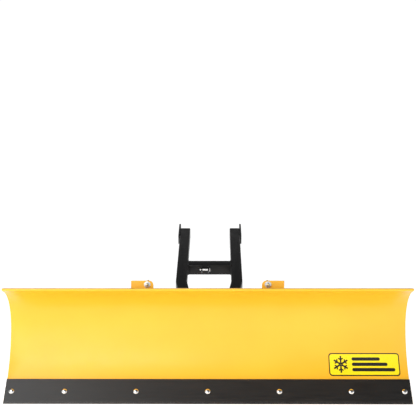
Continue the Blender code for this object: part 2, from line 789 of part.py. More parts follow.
# ---- push frame ---------------------------------------------------------------------------
def build_push_frame(frame):
    for side, sign in (("left", -1), ("right", 1)):
        path = [(sign * NOSE_X, NOSE_S), (sign * SIDE_X, BEND_S), (sign * SIDE_X, REAR_S)]
        add_object(f"push_tube_{side}", square_tube(path, TUBE, TUBE_WALL), "black", frame)
        build_lug(side, sign, frame)
    half = SIDE_X - TUBE / 2 - GAP
    cross = square_tube([(-half, CROSS_TUBE_S), (half, CROSS_TUBE_S)], TUBE, TUBE_WALL)
    add_object("cross_tube", cross, "black", frame)
    build_nose_plates(frame)
    build_kingpin(frame)
    build_lift_bracket(frame)


def build_lug(side, sign, frame):
    """Rear ear with the pin hole that the vehicle's mount takes."""
    half = TUBE / 2 - 0.002
    outline = [(LUG_FRONT_S, half), (LUG_FRONT_S, -half)]
    outline += arc((LUG_HOLE_S, 0.0), half, -90, 90, 12)
    near = sign * (SIDE_X + TUBE / 2 + GAP)
    far = near + sign * LUG_THICK
    lug = add_object(f"mount_lug_{side}", prism(outline, near, far, side_plane), "black", frame, smooth=True)
    cutter = round_cutter(f"cut_lug_{side}", LUG_HOLE_R, along_x(near, LUG_HOLE_S, 0), 0.05, frame)
    boolean(lug, cutter, "DIFFERENCE")


def build_nose_plates(frame):
    """Plates over and under the tubes' front ends that clasp the swivel."""
    low = TUBE / 2 + GAP
    high = low + PLATE
    half_outline = [(0.0, -NOSE_PLATE_R)] + arc((0, 0), NOSE_PLATE_R, -72, 0, 4)
    outline = mirrored(half_outline + list(NOSE_PLATE_EDGE))
    bore = KINGPIN_R + HOLE_CLEARANCE
    upper = add_object("nose_plate_upper", prism(outline, low, high, flat_plane), "black", frame)
    lower = add_object("nose_plate_lower", prism(outline, -high, -low, flat_plane), "black", frame)
    for name, plate in (("upper", upper), ("lower", lower)):
        boolean(plate, round_cutter(f"cut_nose_{name}", bore, Matrix(), 0.2, frame), "DIFFERENCE")
    spot = Matrix.Translation((0, LOCK_S, 0))
    cutter = round_cutter("cut_nose_lock", LOCK_PIN_R + LOCK_PLAY, spot, 0.2, frame)
    boolean(upper, cutter, "DIFFERENCE")


def build_kingpin(frame):
    top = TUBE / 2 + PLATE + 2 * GAP
    head = add_object("kingpin", prism(hexagon(HEAD_FLATS), top, top + HEAD_HIGH, flat_plane), "zinc", frame)
    shank_shape = rod(KINGPIN_R, -top - KINGPIN_TAIL, top + HEAD_HIGH / 3, ROUND, 0.0008)
    boolean(head, add_object("kingpin_shank", shank_shape, None, frame), "UNION")
    hex_nut = nut(HEAD_FLATS, KINGPIN_R + HOLE_CLEARANCE, KINGPIN_NUT_HIGH)
    moved(hex_nut, Matrix.Translation((0, 0, -top - KINGPIN_NUT_HIGH)))
    add_object("kingpin_nut", hex_nut, "zinc", frame)


def build_lift_bracket(frame):
    """U-shaped bracket on the cross tube with a pin across it for the lifting hook."""
    face = CROSS_TUBE_S - TUBE / 2 - GAP
    pin_s = face - 0.018
    outline = [(face, -0.018), (face, TUBE / 2), (face - 0.010, TUBE / 2)]
    outline += arc((pin_s, LIFT_PIN_N), LIFT_EAR_R, 60, 200, 8)
    reach = LIFT_HALF_GAP + LIFT_PLATE
    bracket = add_object(
        "lift_bracket", prism(outline, LIFT_X - reach, LIFT_X + reach, side_plane),
        "black", frame, smooth=True,
    )
    back = face - LIFT_PLATE
    gap_outline = [(back, -0.05), (back, 0.05), (face - 0.05, 0.05), (face - 0.05, -0.05)]
    slot = prism(gap_outline, LIFT_X - LIFT_HALF_GAP, LIFT_X + LIFT_HALF_GAP, side_plane)
    boolean(bracket, add_object("cut_lift_slot", slot, None, frame), "DIFFERENCE")
    axis = along_x(LIFT_X, pin_s, LIFT_PIN_N)
    pin_hole = round_cutter("cut_lift_pin", LIFT_PIN_R + HOLE_CLEARANCE, axis, 0.1, frame)
    boolean(bracket, pin_hole, "DIFFERENCE")
    profile = [
        (0.0, -reach - 0.006),
        (LIFT_PIN_R - 0.0008, -reach - 0.006),
        (LIFT_PIN_R, -reach - 0.0052),
        (LIFT_PIN_R, reach + GAP),
        (0.0085, reach + GAP),
        (0.0085, reach + 0.005),
        (0.0, reach + 0.005),
    ]
    add_object("lift_pin", moved(turned(profile), axis), "zinc", frame, smooth=True)


def build_lock(frame):
    """Spring plunger, parked in its raised place, that drops into the quadrant's holes."""
    base = TUBE / 2 + PLATE + 2 * GAP
    wall_low = GUIDE_TOP - GUIDE_WALL
    place = Matrix.Translation((0, LOCK_S, 0))
    guide = turned([
        (GUIDE_BORE_R, base),
        (GUIDE_R, base),
        (GUIDE_R, GUIDE_TOP - 0.001),
        (GUIDE_R - 0.001, GUIDE_TOP),
        (LOCK_PIN_R + HOLE_CLEARANCE, GUIDE_TOP),
        (LOCK_PIN_R + HOLE_CLEARANCE, wall_low),
        (GUIDE_BORE_R, wall_low),
    ])
    add_object("lock_guide", moved(guide, place), "black", frame, smooth=True)

    lift_axis = empty("lock_pin_axis", (0, LOCK_S, 0), parent=frame)
    knob_low = GUIDE_TOP + LOCK_TRAVEL + 0.0015
    collar_low = base + LOCK_TRAVEL + 0.002
    tip = TUBE / 2 - 0.0004
    collar_high = collar_low + 0.004
    pin = turned([
        (0.0, tip),
        (LOCK_PIN_R - 0.0015, tip),
        (LOCK_PIN_R, tip + 0.0025),
        (LOCK_PIN_R, collar_low),
        (LOCK_COLLAR_R, collar_low),
        (LOCK_COLLAR_R, collar_high),
        (LOCK_PIN_R, collar_high),
        (LOCK_PIN_R, knob_low - GAP),
        (0.0, knob_low - GAP),
    ])
    add_object("lock_pin", pin, "zinc", lift_axis, smooth=True)
    knob = turned([(radius, knob_low + height) for radius, height in KNOB_OUTLINE])
    add_object("lock_knob", knob, "knob", lift_axis, smooth=True)
    per_turn = 8
    count = RETURN_TURNS * per_turn
    low = collar_high + 0.0011
    high = wall_low - 0.0011
    path = []
    for i in range(count + 1):
        turn = 2 * math.pi * i / per_turn
        across = RETURN_SPRING_R * Vector((math.cos(turn), math.sin(turn), 0))
        path.append(across + Vector((0, 0, low + (high - low) * i / count)))
    add_object("lock_spring", sweep(path, RETURN_WIRE_R, 5), "spring", lift_axis, smooth=True)


# ---- assembly -----------------------------------------------------------------------------
def main():
    clear_scene()
    frame = empty("frame_plane", (0, *KINGPIN), FRAME_SLOPE)
    angle = empty("angle_axis", (0, *KINGPIN), FRAME_SLOPE)
    trip = empty("trip_axis", (0, *TRIP_PIVOT))
    inverse = Matrix.Translation((0, -TRIP_PIVOT[0], -TRIP_PIVOT[1]))

    build_push_frame(frame)
    build_lock(frame)
    build_swivel(angle)
    build_moldboard(trip, inverse)
    build_wear_bar(trip, inverse)
    build_wear_fasteners(trip, inverse)
    for side, sign in (("left", -1), ("right", 1)):
        build_swivel_arm(side, sign, angle)
        build_spring_anchor(side, sign, angle)
        build_trip_spring(side, sign, angle)
        build_inner_rib(side, sign, trip, inverse)
        build_outer_rib(side, sign, trip, inverse)
        build_eye_bolt(side, sign, trip, inverse)
        build_pivot_pin(side, sign, trip, inverse)
        build_skid(side, sign, trip, inverse)


main()
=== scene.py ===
"""Looks of the ATV plow blade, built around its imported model.

Metres, in the part's own frame: +X is the blade's right end seen from in front, +Y points back,
+Z is up, and the origin is the middle of the wear bar's ground edge.
"""
import json
import math

import bmesh
import bpy
from mathutils import Matrix, Vector


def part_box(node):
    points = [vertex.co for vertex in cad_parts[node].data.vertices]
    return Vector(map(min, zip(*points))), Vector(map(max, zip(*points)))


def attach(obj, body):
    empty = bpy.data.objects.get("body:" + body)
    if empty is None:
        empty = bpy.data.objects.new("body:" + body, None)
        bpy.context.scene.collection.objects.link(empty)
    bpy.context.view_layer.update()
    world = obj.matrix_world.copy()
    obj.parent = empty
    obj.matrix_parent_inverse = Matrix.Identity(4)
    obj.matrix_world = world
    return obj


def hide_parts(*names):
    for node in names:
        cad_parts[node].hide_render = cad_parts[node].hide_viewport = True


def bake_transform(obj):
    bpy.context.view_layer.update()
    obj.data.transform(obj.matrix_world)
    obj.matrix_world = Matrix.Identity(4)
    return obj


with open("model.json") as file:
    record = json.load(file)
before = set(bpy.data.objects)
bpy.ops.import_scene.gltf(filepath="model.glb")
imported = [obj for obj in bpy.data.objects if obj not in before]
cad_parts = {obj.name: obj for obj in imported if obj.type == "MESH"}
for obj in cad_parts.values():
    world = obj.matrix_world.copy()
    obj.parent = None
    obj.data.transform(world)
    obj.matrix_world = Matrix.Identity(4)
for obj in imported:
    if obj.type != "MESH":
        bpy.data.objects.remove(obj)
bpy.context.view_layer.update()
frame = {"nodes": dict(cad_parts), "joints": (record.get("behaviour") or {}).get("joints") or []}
NODES = frame["nodes"]
JOINTS = {joint["name"]: joint for joint in frame["joints"]}
SIDES = (("left", -1), ("right", 1))


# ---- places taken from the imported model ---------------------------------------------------
def middle(node):
    low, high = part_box(node)
    return (low + high) / 2


KINGPIN = Vector(JOINTS["angle_swivel"]["pos_m"])
FRAME_UP = Vector(JOINTS["angle_swivel"]["axis"]).normalized()
FRAME_BACK = FRAME_UP.cross(Vector((1, 0, 0))).normalized()
FRAME_PLANE = Matrix((
    (1, 0, 0, KINGPIN.x),
    (0, FRAME_BACK.y, FRAME_UP.y, KINGPIN.y),
    (0, FRAME_BACK.z, FRAME_UP.z, KINGPIN.z),
    (0, 0, 0, 1),
))
TRIP = Vector(JOINTS["blade_trip"]["pos_m"])
BLADE_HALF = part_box("moldboard")[1].x
GAP = 0.0003


def along_frame(point):
    """How far a point lies behind the kingpin, along the frame."""
    return (FRAME_PLANE.inverted() @ point).y


# ---- materials ----------------------------------------------------------------------------
class Nodes:
    """A short way to write a material's node tree."""

    def __init__(self, name):
        self.material = bpy.data.materials.new(name)
        self.material.use_nodes = True
        self.tree = self.material.node_tree
        self.shader = self.tree.nodes["Principled BSDF"]
        self.place = self.add("ShaderNodeTexCoord").outputs["Object"]

    def add(self, kind, **settings):
        node = self.tree.nodes.new(kind)
        for key, value in settings.items():
            setattr(node, key, value)
        return node

    def link(self, source, target):
        self.tree.links.new(source, target)

    def stretched(self, scale):
        mapping = self.add("ShaderNodeMapping")
        mapping.inputs["Scale"].default_value = scale
        self.link(self.place, mapping.inputs["Vector"])
        return mapping.outputs["Vector"]

    def noise(self, scale, detail=3.0, roughness=0.5, place=None):
        node = self.add("ShaderNodeTexNoise")
        node.inputs["Scale"].default_value = scale
        node.inputs["Detail"].default_value = detail
        node.inputs["Roughness"].default_value = roughness
        self.link(place or self.place, node.inputs["Vector"])
        return node.outputs["Fac"]

    def spread(self, value, low, high, start=0.0, end=1.0):
        """Maps start..end of a value to low..high."""
        node = self.add("ShaderNodeMapRange")
        node.inputs["From Min"].default_value = start
        node.inputs["From Max"].default_value = end
        node.inputs["To Min"].default_value = low
        node.inputs["To Max"].default_value = high
        self.link(value, node.inputs["Value"])
        return node.outputs["Result"]

    def mix(self, factor, first, second):
        node = self.add("ShaderNodeMix", data_type="RGBA")
        self.link(factor, node.inputs["Factor"])
        for socket, colour in ((node.inputs["A"], first), (node.inputs["B"], second)):
            if isinstance(colour, tuple):
                socket.default_value = (*colour, 1.0)
            else:
                self.link(colour, socket)
        return node.outputs["Result"]

    def bump(self, height, distance, strength=1.0, after=None):
        node = self.add("ShaderNodeBump")
        node.inputs["Distance"].default_value = distance
        node.inputs["Strength"].default_value = strength
        self.link(height, node.inputs["Height"])
        if after:
            self.link(after, node.inputs["Normal"])
        return node.outputs["Normal"]

    def edges(self, width):
        """1 on sharp edges, 0 elsewhere."""
        bevel = self.add("ShaderNodeBevel", samples=4)
        bevel.inputs["Radius"].default_value = width
        flat = self.add("ShaderNodeNewGeometry").outputs["Normal"]
        dot = self.add("ShaderNodeVectorMath", operation="DOT_PRODUCT")
        self.link(bevel.outputs["Normal"], dot.inputs[0])
        self.link(flat, dot.inputs[1])
        return self.spread(dot.outputs["Value"], 1.0, 0.0, 0.90, 0.995)

    def set(self, **values):
        for key, value in values.items():
            socket = self.shader.inputs[key.replace("_", " ")]
            if isinstance(value, bpy.types.NodeSocket):
                self.link(value, socket)
            elif isinstance(value, tuple):
                socket.default_value = (*value, 1.0)
            else:
                socket.default_value = value


def powder_coat(name, colour, deeper, roughness, peel, worn=None, gloss=0.5):
    """Baked paint: slight pooling of colour, orange peel, and chips to bare steel on edges."""
    n = Nodes(name)
    cloud = n.noise(3.0, 4.0, 0.55)
    tone = n.mix(n.spread(cloud, 0.0, 1.0, 0.35, 0.68), colour, deeper)
    rough = n.spread(n.noise(38.0, 4.0), roughness - 0.05, roughness + 0.07, 0.3, 0.7)
    if worn:
        chips = n.noise(240.0, 2.0, 0.6)
        edge = n.add("ShaderNodeMath", operation="MULTIPLY")
        n.link(n.edges(0.0009), edge.inputs[0])
        n.link(n.spread(chips, 0.0, 1.0, 0.56, 0.66), edge.inputs[1])
        tone = n.mix(edge.outputs["Value"], tone, worn)
    fine = n.bump(n.noise(520.0, 2.0), peel)
    n.set(Base_Color=tone, Roughness=rough)
    n.set(Normal=n.bump(n.noise(95.0, 2.0), peel * 2.2, after=fine))
    n.set(Specular_IOR_Level=gloss, Coat_Weight=0.10 if gloss > 0.4 else 0.0, Coat_Roughness=0.22)
    return n.material


def bar_steel():
    """Black paint brushed over hot-rolled flat bar: long mill streaks, scuffs near the ground."""
    n = Nodes("wear_bar_paint")
    streaks = n.noise(9.0, 6.0, 0.62, n.stretched((1.0, 26.0, 26.0)))
    tone = n.mix(n.spread(streaks, 0.0, 1.0, 0.35, 0.65), (0.006, 0.006, 0.0064), (0.010, 0.010, 0.0104))
    pits = n.noise(330.0, 3.0, 0.6)
    low = n.add("ShaderNodeSeparateXYZ")
    n.link(n.place, low.inputs["Vector"])
    near_ground = n.spread(low.outputs["Z"], 1.0, 0.0, 0.0, 0.012)
    scuff = n.add("ShaderNodeMath", operation="MULTIPLY")
    n.link(near_ground, scuff.inputs[0])
    n.link(n.spread(pits, 0.0, 0.7, 0.50, 0.62), scuff.inputs[1])
    tone = n.mix(scuff.outputs["Value"], tone, (0.13, 0.13, 0.13))
    rough = n.spread(streaks, 0.34, 0.47, 0.3, 0.7)
    grain = n.bump(streaks, 0.00025)
    n.set(Base_Color=tone, Roughness=rough, Normal=n.bump(pits, 0.00012, after=grain))
    n.set(Coat_Weight=0.10, Coat_Roughness=0.30)
    return n.material


def plated(name, colour, deeper, roughness):
    """Zinc or passivated steel: fine crystalline mottling and patchy roughness."""
    n = Nodes(name)
    mottle = n.noise(420.0, 4.0, 0.6)
    tone = n.mix(n.spread(mottle, 0.0, 1.0, 0.35, 0.65), colour, deeper)
    rough = n.spread(n.noise(180.0, 3.0), roughness - 0.06, roughness + 0.10, 0.3, 0.7)
    n.set(Base_Color=tone, Roughness=rough, Normal=n.bump(mottle, 0.00004), Metallic=1.0)
    return n.material


def spring_wire():
    n = Nodes("oiled_spring_wire")
    drawn = n.noise(60.0, 5.0, 0.6)
    tone = n.mix(n.spread(drawn, 0.0, 1.0, 0.35, 0.65), (0.11, 0.11, 0.115), (0.22, 0.215, 0.21))
    n.set(Base_Color=tone, Metallic=1.0, Normal=n.bump(n.noise(900.0), 0.00003))
    n.set(Roughness=n.spread(drawn, 0.26, 0.42, 0.3, 0.7))
    return n.material


def moulded_plastic():
    n = Nodes("moulded_knob")
    grain = n.noise(700.0, 2.0)
    tone = n.mix(grain, (0.012, 0.012, 0.013), (0.022, 0.022, 0.023))
    n.set(Base_Color=tone, Roughness=n.spread(grain, 0.26, 0.36), Normal=n.bump(grain, 0.00004))
    return n.material


def vinyl(name, colour, deeper):
    n = Nodes(name)
    print_grain = n.noise(260.0, 3.0)
    tone = n.mix(n.spread(print_grain, 0.0, 1.0, 0.3, 0.7), colour, deeper)
    n.set(Base_Color=tone, Roughness=n.spread(print_grain, 0.24, 0.33))
    n.set(Normal=n.bump(print_grain, 0.00002))
    return n.material


def floor_material():
    n = Nodes("studio_floor")
    grain = n.noise(2.0, 2.0)
    n.set(Base_Color=n.mix(grain, (0.92, 0.92, 0.92), (0.95, 0.95, 0.95)), Roughness=0.85)
    n.set(Emission_Color=(1.0, 1.0, 1.0), Emission_Strength=0.75)
    return n.material


YELLOW = powder_coat(
    "yellow_powder_coat", (0.98, 0.522, 0.026), (0.94, 0.485, 0.021), 0.36, 0.00008, (0.62, 0.42, 0.10),
)
BLACK = powder_coat(
    "black_powder_coat", (0.0045, 0.0045, 0.0048), (0.0075, 0.0075, 0.008), 0.40, 0.00010,
    (0.10, 0.10, 0.10), 0.3,
)
BAR = bar_steel()
ZINC = plated("bright_zinc", (0.72, 0.72, 0.71), (0.56, 0.57, 0.58), 0.27)
BOLT_ZINC = plated("polished_zinc", (0.74, 0.74, 0.73), (0.62, 0.62, 0.62), 0.17)
GOLD_ZINC = plated("yellow_zinc", (0.66, 0.55, 0.27), (0.52, 0.47, 0.33), 0.30)
SPRING = spring_wire()
KNOB = moulded_plastic()
WELD_YELLOW = powder_coat(
    "painted_weld_yellow", (0.97, 0.525, 0.024), (0.90, 0.47, 0.018), 0.40, 0.00012,
)
WELD_BLACK = powder_coat(
    "painted_weld_black", (0.007, 0.007, 0.0075), (0.012, 0.012, 0.013), 0.42, 0.00012, None, 0.3,
)
SIGN_BLACK = vinyl("decal_black", (0.010, 0.010, 0.010), (0.016, 0.016, 0.016))
SIGN_YELLOW = vinyl("decal_yellow", (0.95, 0.80, 0.010), (0.90, 0.74, 0.010))


# ---- mesh helpers -------------------------------------------------------------------------
ON_AXIS = 1e-9


def make(name, bm, material, body, nodes=(), matrix=None, sharp=38):
    """Finish a bmesh as a piece that rides on a body and stands for these CAD nodes."""
    if matrix:
        bmesh.ops.transform(bm, matrix=matrix, verts=bm.verts[:])
    bmesh.ops.recalc_face_normals(bm, faces=bm.faces[:])
    mesh = bpy.data.meshes.new(name)
    bm.to_mesh(mesh)
    bm.free()
    mesh.shade_smooth()
    mesh.set_sharp_from_angle(angle=math.radians(sharp))
    obj = bpy.data.objects.new(name, mesh)
    bpy.context.scene.collection.objects.link(obj)
    mesh.materials.append(material)
    if body:
        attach(obj, body)
    if nodes:
        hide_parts(*nodes)
    return obj


def turned(profile, sides=48):
    """A body of revolution about Z from points (radius, z)."""
    bm = bmesh.new()
    closed = all(radius > ON_AXIS for radius, _ in profile)
    rings = []
    for radius, z in profile:
        if radius <= ON_AXIS:
            rings.append([bm.verts.new((0, 0, z))])
            continue
        rings.append([
            bm.verts.new((
                radius * math.cos(2 * math.pi * i / sides),
                radius * math.sin(2 * math.pi * i / sides),
                z,
            ))
            for i in range(sides)
        ])
    pairs = list(zip(rings, rings[1:]))
    if closed:
        pairs.append((rings[-1], rings[0]))
    for first, second in pairs:
        for i in range(sides):
            j = (i + 1) % sides
            if len(first) == 1:
                bm.faces.new((first[0], second[i], second[j]))
            elif len(second) == 1:
                bm.faces.new((first[i], second[0], first[j]))
            else:
                bm.faces.new((first[i], second[i], second[j], first[j]))
    return bm


def rounded(profile, radius=0.0006, steps=3):
    """The same (radius, z) profile with its inner corners rounded."""
    result = [profile[0]]
    for before, here, after in zip(profile, profile[1:], profile[2:]):
        a = Vector(before) - Vector(here)
        b = Vector(after) - Vector(here)
        reach = min(radius, a.length * 0.45, b.length * 0.45)
        if a.angle(b) > math.radians(165) or here[0] <= ON_AXIS:
            result.append(here)
            continue
        start = Vector(here) + a.normalized() * reach
        end = Vector(here) + b.normalized() * reach
        for i in range(steps + 1):
            t = i / steps
            point = start * (1 - t) ** 2 + Vector(here) * 2 * t * (1 - t) + end * t ** 2
            result.append((point.x, point.y))
    result.append(profile[-1])
    return result


def thread(radius, low, high, pitch=0.0016):
    """Profile points of a threaded stretch from low to high."""
    points = []
    count = int((high - low) / pitch)
    for i in range(count):
        z = low + i * pitch
        points += [(radius, z), (radius, z + pitch * 0.12), (radius - pitch * 0.5, z + pitch * 0.56)]
    points.append((radius, low + count * pitch))
    return points


def sweep(path, radius, sides=12, caps=True, radii=None):
    """A round wire along a list of points; radii gives a factor at each point."""
    bm = bmesh.new()
    count = len(path)
    rings = []
    previous = None
    for i, point in enumerate(path):
        tangent = (path[min(i + 1, count - 1)] - path[max(i - 1, 0)]).normalized()
        if previous is None:
            helper = Vector((1, 0, 0)) if abs(tangent.x) < 0.9 else Vector((0, 1, 0))
            side = tangent.cross(helper).normalized()
        else:
            side = (previous - tangent * previous.dot(tangent)).normalized()
        previous = side
        other = tangent.cross(side)
        size = radius * (radii[i] if radii else 1.0)
        rings.append([
            bm.verts.new(
                point
                + size * math.cos(2 * math.pi * k / sides) * side
                + size * math.sin(2 * math.pi * k / sides) * other
            )
            for k in range(sides)
        ])
    for first, second in zip(rings, rings[1:]):
        for k in range(sides):
            m = (k + 1) % sides
            bm.faces.new((first[k], first[m], second[m], second[k]))
    if caps:
        bm.faces.new(rings[0][::-1])
        bm.faces.new(rings[-1])
    return bm


def along_x(x, y, z):
    """Stands a body of revolution at a point with its axis towards +X."""
    return Matrix.Translation((x, y, z)) @ Matrix.Rotation(math.radians(90), 4, "Y")


def along_y(x, y, z):
    """Stands a body of revolution at a point with its axis towards +Y."""
    return Matrix.Translation((x, y, z)) @ Matrix.Rotation(math.radians(-90), 4, "X")


def refined(node, material, body, tube_radius=0.0, edge=0.0006):
    """A CAD node's own shape with its edges rounded; long outer edges of a tube get tube_radius."""
    bm = bmesh.new()
    bm.from_mesh(NODES[node].data)
    bmesh.ops.remove_doubles(bm, verts=bm.verts[:], dist=0.00002)
    bmesh.ops.dissolve_limit(bm, angle_limit=math.radians(1.0), verts=bm.verts[:], edges=bm.edges[:])
    if tube_radius:
        long_edges = [
            e for e in bm.edges
            if len(e.link_faces) == 2 and e.calc_length() > 0.05
            and e.calc_face_angle_signed(0.0) > math.radians(60)
        ]
        bmesh.ops.bevel(
            bm, geom=long_edges, offset=tube_radius, segments=5, affect="EDGES", profile=0.5,
            clamp_overlap=True, miter_outer="SHARP",
        )
    obj = make(node + "_shell", bm, material, body, (node,))
    bevel = obj.modifiers.new("edges", "BEVEL")
    bevel.width = edge
    bevel.segments = 2
    bevel.limit_method = "ANGLE"
    bevel.angle_limit = math.radians(35)
    bevel.use_clamp_overlap = True
    return obj


def weld(name, path, radius, material, body):
    """A weld bead along a path: a lumpy rod with a ripple every 2.4 mm."""
    step = 0.0008
    points = []
    for start, end in zip(path, path[1:]):
        count = max(1, round((end - start).length / step))
        points += [start.lerp(end, i / count) for i in range(count)]
    points.append(path[-1])
    radii = []
    for i in range(len(points)):
        ripple = 1.0 + 0.10 * abs(math.sin(math.pi * i / 3.0))
        wander = 0.05 * math.sin(i * 0.19) + 0.04 * math.sin(i * 0.071 + 1.0)
        ends = min(1.0, 0.55 + 0.09 * min(i, len(points) - 1 - i))
        radii.append((ripple + wander) * ends)
    return make(name, sweep(points, radius, 8, True, radii), material, body, (), sharp=80)


# ---- blade sheet --------------------------------------------------------------------------
BAR_SLOPE = math.radians(55.5)
BAR_THICK = 0.00635
BAR_HEIGHT = 0.1016
SHEET = 0.003
FOOT = BAR_THICK / math.sin(BAR_SLOPE)
LOWER_RADIUS = 0.330
UPPER_RADIUS = 0.1505
TOP_SLOPE = math.radians(166.5)
TOP_RUN = 0.033
LIP_RADIUS = 0.0045
LIP_FLANGE = 0.024
FINENESS = 5


def on_bar(up, behind):
    """(y, z) of a point this far up the wear bar and this far behind its front face."""
    return (
        -FOOT / 2 + up * math.cos(BAR_SLOPE) + behind * math.sin(BAR_SLOPE),
        up * math.sin(BAR_SLOPE) - behind * math.cos(BAR_SLOPE),
    )


def section(fine):
    """Front face of the sheet from its lower edge up, as (y, z, tangent angle)."""
    stations = [(*on_bar(0.0254, BAR_THICK + GAP), BAR_SLOPE)]
    y, z = on_bar(BAR_HEIGHT, BAR_THICK + GAP)
    for radius, first, last, count in (
        (LOWER_RADIUS, BAR_SLOPE, math.pi / 2, 7 * fine),
        (UPPER_RADIUS, math.pi / 2, TOP_SLOPE, 9 * fine),
    ):
        centre = (y - radius * math.sin(first), z + radius * math.cos(first))
        for i in range(0 if first == BAR_SLOPE else 1, count + 1):
            angle = first + (last - first) * i / count
            y = centre[0] + radius * math.sin(angle)
            z = centre[1] - radius * math.cos(angle)
            stations.append((y, z, angle))
    y += TOP_RUN * math.cos(TOP_SLOPE)
    z += TOP_RUN * math.sin(TOP_SLOPE)
    centre = (y + LIP_RADIUS * math.sin(TOP_SLOPE), z - LIP_RADIUS * math.cos(TOP_SLOPE))
    for i in range(3 * fine + 1):
        angle = TOP_SLOPE * (1 - i / (3 * fine))
        stations.append((
            centre[0] - LIP_RADIUS * math.sin(angle),
            centre[1] + LIP_RADIUS * math.cos(angle),
            angle,
        ))
    y, z, _ = stations[-1]
    stations.append((y + LIP_FLANGE, z, 0.0))
    return stations


def offset(station, distance):
    """A point behind (or, negative, in front of) the sheet's front face."""
    y, z, angle = station
    return y + distance * math.sin(angle), z - distance * math.cos(angle)


def sheet_point(x, height, depth):
    """The point at a height on the sheet's lower curve; depth is measured behind its front face."""
    start = on_bar(BAR_HEIGHT, BAR_THICK + GAP)
    centre = (
        start[0] - LOWER_RADIUS * math.sin(BAR_SLOPE),
        start[1] + LOWER_RADIUS * math.cos(BAR_SLOPE),
    )
    along = math.asin(max(-1.0, min(1.0, (height - centre[1]) / LOWER_RADIUS)))
    reach = LOWER_RADIUS + depth
    return Vector((x, centre[0] + reach * math.cos(along), centre[1] + reach * math.sin(along)))


def build_moldboard():
    """The curved sheet, in six shells from front to back that round its outer edges over."""
    bm = bmesh.new()
    stations = section(FINENESS)
    width = BLADE_HALF * 2
    columns = 24
    round_over = 0.0007
    shoulder = 0.0002
    shells = []
    for depth, inset in (
        (0.0, round_over), (shoulder, shoulder), (round_over, 0.0),
        (SHEET - round_over, 0.0), (SHEET - shoulder, shoulder), (SHEET, round_over),
    ):
        shell = []
        for i in range(columns + 1):
            x = -BLADE_HALF + inset + (width - 2 * inset) * i / columns
            shell.append([bm.verts.new((x, *offset(s, depth))) for s in stations])
        shells.append(shell)
    for shell in (shells[0], shells[-1]):
        for first, second in zip(shell, shell[1:]):
            for k in range(len(stations) - 1):
                bm.faces.new((first[k], second[k], second[k + 1], first[k + 1]))
    for shell, behind in zip(shells, shells[1:]):
        for end in (0, -1):
            for k in range(len(stations) - 1):
                bm.faces.new((shell[end][k], shell[end][k + 1], behind[end][k + 1], behind[end][k]))
            for i in range(columns):
                bm.faces.new((shell[i][end], shell[i + 1][end], behind[i + 1][end], behind[i][end]))
    make("moldboard_sheet", bm, YELLOW, "blade", ("moldboard",), sharp=60)


def build_wear_bar():
    outline = [
        (-FOOT / 2, 0.0), (FOOT / 2, 0.0), on_bar(BAR_HEIGHT, BAR_THICK), on_bar(BAR_HEIGHT, 0.0),
    ]
    bm = bmesh.new()
    ends = [[bm.verts.new((x, y, z)) for y, z in outline] for x in (-BLADE_HALF, BLADE_HALF)]
    bm.faces.new(ends[0])
    bm.faces.new(ends[1][::-1])
    for i in range(4):
        j = (i + 1) % 4
        bm.faces.new((ends[0][i], ends[0][j], ends[1][j], ends[1][i]))
    bar = make("wear_bar_steel", bm, BAR, "blade", ("wear_bar",))
    bevel = bar.modifiers.new("edges", "BEVEL")
    bevel.width = 0.0009
    bevel.segments = 3


# ---- fasteners ----------------------------------------------------------------------------
BOLT_R = 0.0047
NUT_AF = 0.0143
NUT_HIGH = 0.0083


def hex_nut(flats, bore, height):
    """A hexagon nut with chamfered corners and a threaded bore, along Z from its base."""
    sides = 72
    corner = flats / math.sqrt(3)
    washer_face = flats / 2 * 0.985
    chamfer = math.tan(math.radians(30))
    bm = bmesh.new()

    def hexagon(angle):
        """Distance from the axis to the hexagon's side at an angle."""
        folded = (angle + math.pi / 6) % (math.pi / 3) - math.pi / 6
        return flats / 2 / math.cos(folded)

    loops = []
    for at_top, shares in ((False, (0.0, 0.4, 0.75, 1.0)), (True, (1.0, 0.6, 0.25, 0.0))):
        for share in shares:
            ring = []
            for i in range(sides):
                angle = 2 * math.pi * i / sides
                radius = min(hexagon(angle), washer_face + (corner - washer_face) * share)
                fall = (radius - washer_face) * chamfer
                z = height - fall if at_top else fall
                ring.append(bm.verts.new((radius * math.cos(angle), radius * math.sin(angle), z)))
            loops.append(ring)
    lead_in = 0.0009
    groove = 0.0006
    steps = 12
    bore_profile = [(bore + lead_in, height), (bore, height - lead_in)]
    for k in range(steps):
        depth = lead_in + (height - 2 * lead_in) * (k + 1) / steps
        bore_profile.append((bore + (groove if k % 2 else 0.0), height - depth))
    bore_profile.append((bore + lead_in, 0.0))
    for radius, z in bore_profile:
        ring = []
        for i in range(sides):
            angle = 2 * math.pi * i / sides
            ring.append(bm.verts.new((radius * math.cos(angle), radius * math.sin(angle), z)))
        loops.append(ring)
    for first, second in zip(loops, loops[1:] + loops[:1]):
        for i in range(sides):
            j = (i + 1) % sides
            bm.faces.new((first[i], first[j], second[j], second[i]))
    bmesh.ops.remove_doubles(bm, verts=bm.verts[:], dist=0.000004)
    return bm


def bar_matrix(x, depth):
    """At a wear bolt: +Z runs back along the bolt from this depth behind the bar's front face."""
    y, z = on_bar(BAR_HEIGHT / 2, depth)
    return Matrix.Translation((x, y, z)) @ Matrix.Rotation(BAR_SLOPE - math.pi, 4, "X")


